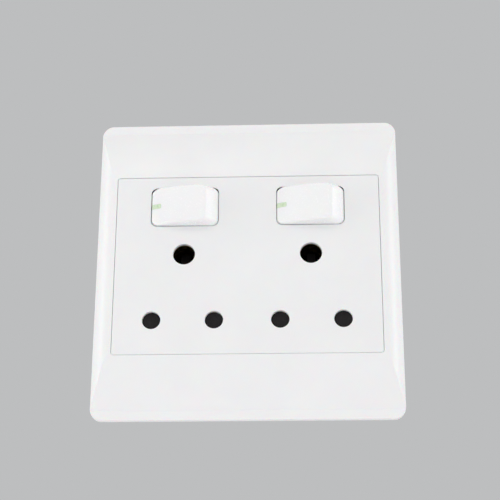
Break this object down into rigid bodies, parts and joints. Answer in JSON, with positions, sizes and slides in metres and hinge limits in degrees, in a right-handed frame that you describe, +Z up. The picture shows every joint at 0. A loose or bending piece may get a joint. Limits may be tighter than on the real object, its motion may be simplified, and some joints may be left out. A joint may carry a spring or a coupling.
{
  "type": "double switched wall socket",
  "caption": "White rectangular double wall socket with round three-pin outlets, a rocker switch above each, a clip-on ramped cover and a switched contact mechanism behind the wall.",
  "frame": {"origin": "on the wall plane, midway between the two fixing slots and at the centre of the insert", "axes": "+Z up the wall, +X to the right seen from the room, the face looks along -Y"},
  "size_m": [0.1254, 0.0457, 0.1304],
  "materials": {
    "cover_white": "satin-gloss white urea moulding",
    "face_white": "satin white urea moulding",
    "rocker_white": "gloss white moulding",
    "marker_green": "pale translucent green inlay",
    "housing_black": "black phenolic-look moulding",
    "deck_black": "black moulding",
    "shutter_black": "dark grey moulding",
    "plunger_nylon": "natural nylon",
    "brass": "bare pressed brass",
    "terminal_brass": "machined brass",
    "zinc_steel": "zinc-plated sheet steel",
    "screw_steel": "zinc-plated steel",
    "spring_steel": "spring wire"
  },
  "bodies": {
    "socket": {"cover_frame": "cover_white", "face_moulding": "face_white", "mounting_yoke": "zinc_steel", "rear_housing": "housing_black", "live_link": "brass", "neutral_link": "brass", "earth_link": "brass", "live_terminal": "terminal_brass", "neutral_terminal": "terminal_brass", "earth_terminal": "terminal_brass", "terminal_screws": "screw_steel", "assembly_screws": "screw_steel", "contact_cover_left": "deck_black", "live_contact_left": "brass", "neutral_contact_left": "brass", "earth_contact_left": "brass", "shutter_spring_left": "spring_steel", "contact_cover_right": "deck_black", "live_contact_right": "brass", "neutral_contact_right": "brass", "earth_contact_right": "brass", "shutter_spring_right": "spring_steel"},
    "left_rocker": {"rocker_left": "rocker_white", "rocker_marker_left": "marker_green", "plunger_spring_left": "spring_steel"},
    "left_plunger": {"plunger_left": "plunger_nylon"},
    "left_rocking_contact": {"rocking_contact_left": "brass"},
    "left_shutter": {"shutter_left": "shutter_black"},
    "right_rocker": {"rocker_right": "rocker_white", "rocker_marker_right": "marker_green", "plunger_spring_right": "spring_steel"},
    "right_plunger": {"plunger_right": "plunger_nylon"},
    "right_rocking_contact": {"rocking_contact_right": "brass"},
    "right_shutter": {"shutter_right": "shutter_black"}
  },
  "joints": [
    {"name": "left_rocker_hinge", "type": "hinge", "parent": "socket", "child": "left_rocker", "pos_m": [-0.0261, 0.0005, 0.02535], "axis": [0, 0, 1], "range_deg": [0, 27]},
    {"name": "left_plunger_slide", "type": "slide", "parent": "left_rocker", "child": "left_plunger", "axis": [-0.2334, -0.9724, 0], "range_m": [0, 0.003], "stiffness_N_per_m": 1500, "deforming": ["plunger_spring_left"]},
    {"name": "left_rocking_contact_hinge", "type": "hinge", "parent": "socket", "child": "left_rocking_contact", "pos_m": [-0.0261, 0.013, 0.02535], "axis": [0, 0, 1], "range_deg": [-16.2, 0]},
    {"name": "left_shutter_slide", "type": "slide", "parent": "socket", "child": "left_shutter", "axis": [0, 0, -1], "range_m": [0, 0.0081], "stiffness_N_per_m": 60, "springref_m": -0.003, "deforming": ["shutter_spring_left"]},
    {"name": "right_rocker_hinge", "type": "hinge", "parent": "socket", "child": "right_rocker", "pos_m": [0.0261, 0.0005, 0.02535], "axis": [0, 0, 1], "range_deg": [0, 27]},
    {"name": "right_plunger_slide", "type": "slide", "parent": "right_rocker", "child": "right_plunger", "axis": [-0.2334, -0.9724, 0], "range_m": [0, 0.003], "stiffness_N_per_m": 1500, "deforming": ["plunger_spring_right"]},
    {"name": "right_rocking_contact_hinge", "type": "hinge", "parent": "socket", "child": "right_rocking_contact", "pos_m": [0.0261, 0.013, 0.02535], "axis": [0, 0, 1], "range_deg": [-16.2, 0]},
    {"name": "right_shutter_slide", "type": "slide", "parent": "socket", "child": "right_shutter", "axis": [0, 0, -1], "range_m": [0, 0.0081], "stiffness_N_per_m": 60, "springref_m": -0.003, "deforming": ["shutter_spring_right"]}
  ],
  "couplings": [
    {"joint": "left_rocking_contact_hinge", "follows": "left_rocker_hinge", "ratio": -0.6},
    {"joint": "right_rocking_contact_hinge", "follows": "right_rocker_hinge", "ratio": -0.6}
  ]
}
